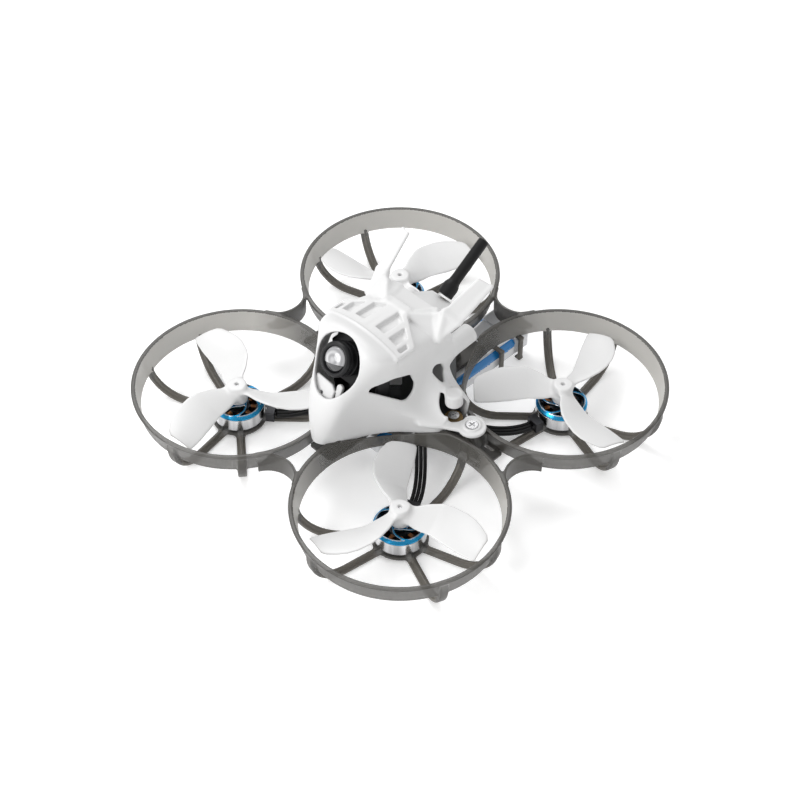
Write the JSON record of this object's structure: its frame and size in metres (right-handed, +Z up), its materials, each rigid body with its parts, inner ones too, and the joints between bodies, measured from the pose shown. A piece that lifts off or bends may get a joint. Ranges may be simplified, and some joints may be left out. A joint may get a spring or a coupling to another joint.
{
  "type": "ducted micro quadcopter",
  "caption": "Ducted micro racing quadcopter with a white canopy, tilting camera, spinning bladed rotors and a slide-in battery",
  "frame": {"origin": "on the floor under the middle of the frame, midway between the four motor shafts", "axes": "+Z up (shortest extent), nose and camera towards -Y, the aircraft's left side towards +X"},
  "size_m": [0.1094, 0.1094, 0.046],
  "materials": {
    "frame_smoke": "satin translucent smoky moulding",
    "prop_white": "satin",
    "bell_blue": "anodised",
    "ring_silver": "polished",
    "magnet_grey": "nickel plated",
    "steel": "ground",
    "base_black": "black anodised",
    "stator_steel": "epoxy coated laminations",
    "copper": "enamelled wire",
    "screw_black": "black oxide",
    "screw_steel": "bright",
    "wire_black": "silicone",
    "canopy_white": "fine satin",
    "board_black": "solder mask",
    "chip_black": "moulded",
    "can_steel": "tinned",
    "grommet_brown": "soft",
    "camera_black": "satin",
    "lens_glass": "coated",
    "brass": "bare",
    "cell_white": "film",
    "wrap_blue": "printed film"
  },
  "bodies": {
    "chassis": {"duct_front_left": "frame_smoke", "motor_base_front_left": "base_black", "motor_wires_front_left": "wire_black", "duct_front_right": "frame_smoke", "motor_base_front_right": "base_black", "motor_wires_front_right": "wire_black", "duct_rear_left": "frame_smoke", "motor_base_rear_left": "base_black", "motor_wires_rear_left": "wire_black", "duct_rear_right": "frame_smoke", "motor_base_rear_right": "base_black", "motor_wires_rear_right": "wire_black", "frame_centre": "frame_smoke", "frame_bridges": "frame_smoke", "stator_cores": "stator_steel", "stator_windings": "copper", "motor_bearings": "steel", "motor_screws": "screw_black", "canopy_shell": "canopy_white", "canopy_tail": "canopy_white", "canopy_screws": "screw_steel", "flight_board": "board_black", "board_chips": "chip_black", "shield_can": "can_steel", "usb_socket": "can_steel", "button_case": "can_steel", "board_grommets": "grommet_brown", "board_screws": "screw_steel", "camera_bracket": "canopy_white", "camera_pivots": "screw_steel", "antenna_sleeve": "wire_black", "antenna_core": "brass"},
    "rotor_front_left": {"propeller_front_left": "prop_white", "rotor_bell_front_left": "bell_blue", "flux_ring_front_left": "ring_silver", "rotor_magnets_front_left": "magnet_grey", "shaft_front_left": "steel"},
    "rotor_front_right": {"propeller_front_right": "prop_white", "rotor_bell_front_right": "bell_blue", "flux_ring_front_right": "ring_silver", "rotor_magnets_front_right": "magnet_grey", "shaft_front_right": "steel"},
    "rotor_rear_left": {"propeller_rear_left": "prop_white", "rotor_bell_rear_left": "bell_blue", "flux_ring_rear_left": "ring_silver", "rotor_magnets_rear_left": "magnet_grey", "shaft_rear_left": "steel"},
    "rotor_rear_right": {"propeller_rear_right": "prop_white", "rotor_bell_rear_right": "bell_blue", "flux_ring_rear_right": "ring_silver", "rotor_magnets_rear_right": "magnet_grey", "shaft_rear_right": "steel"},
    "camera": {"camera_case": "camera_black", "lens_barrel": "camera_black", "lens_glass": "lens_glass"},
    "battery": {"battery_cell": "cell_white", "battery_wrap": "wrap_blue", "battery_end_cap": "cell_white"},
    "button": {"bind_button": "chip_black"}
  },
  "joints": [
    {"name": "spin_front_left", "type": "hinge", "parent": "chassis", "child": "rotor_front_left", "pos_m": [0.02857, -0.02857, 0.009], "axis": [0, 0, 1], "continuous": true},
    {"name": "spin_front_right", "type": "hinge", "parent": "chassis", "child": "rotor_front_right", "pos_m": [-0.02857, -0.02857, 0.009], "axis": [0, 0, 1], "continuous": true},
    {"name": "spin_rear_left", "type": "hinge", "parent": "chassis", "child": "rotor_rear_left", "pos_m": [0.02857, 0.02857, 0.009], "axis": [0, 0, 1], "continuous": true},
    {"name": "spin_rear_right", "type": "hinge", "parent": "chassis", "child": "rotor_rear_right", "pos_m": [-0.02857, 0.02857, 0.009], "axis": [0, 0, 1], "continuous": true},
    {"name": "camera_tilt", "type": "hinge", "parent": "chassis", "child": "camera", "pos_m": [0, -0.01315, 0.0305], "axis": [1, 0, 0], "range_deg": [-8, 9]},
    {"name": "battery_slide", "type": "slide", "parent": "chassis", "child": "battery", "axis": [0, 1, 0], "range_m": [0, 0.055]},
    {"name": "button_press", "type": "slide", "parent": "chassis", "child": "button", "axis": [0, 0, -1], "range_m": [0, 0.00025], "stiffness_N_per_m": 300}
  ]
}
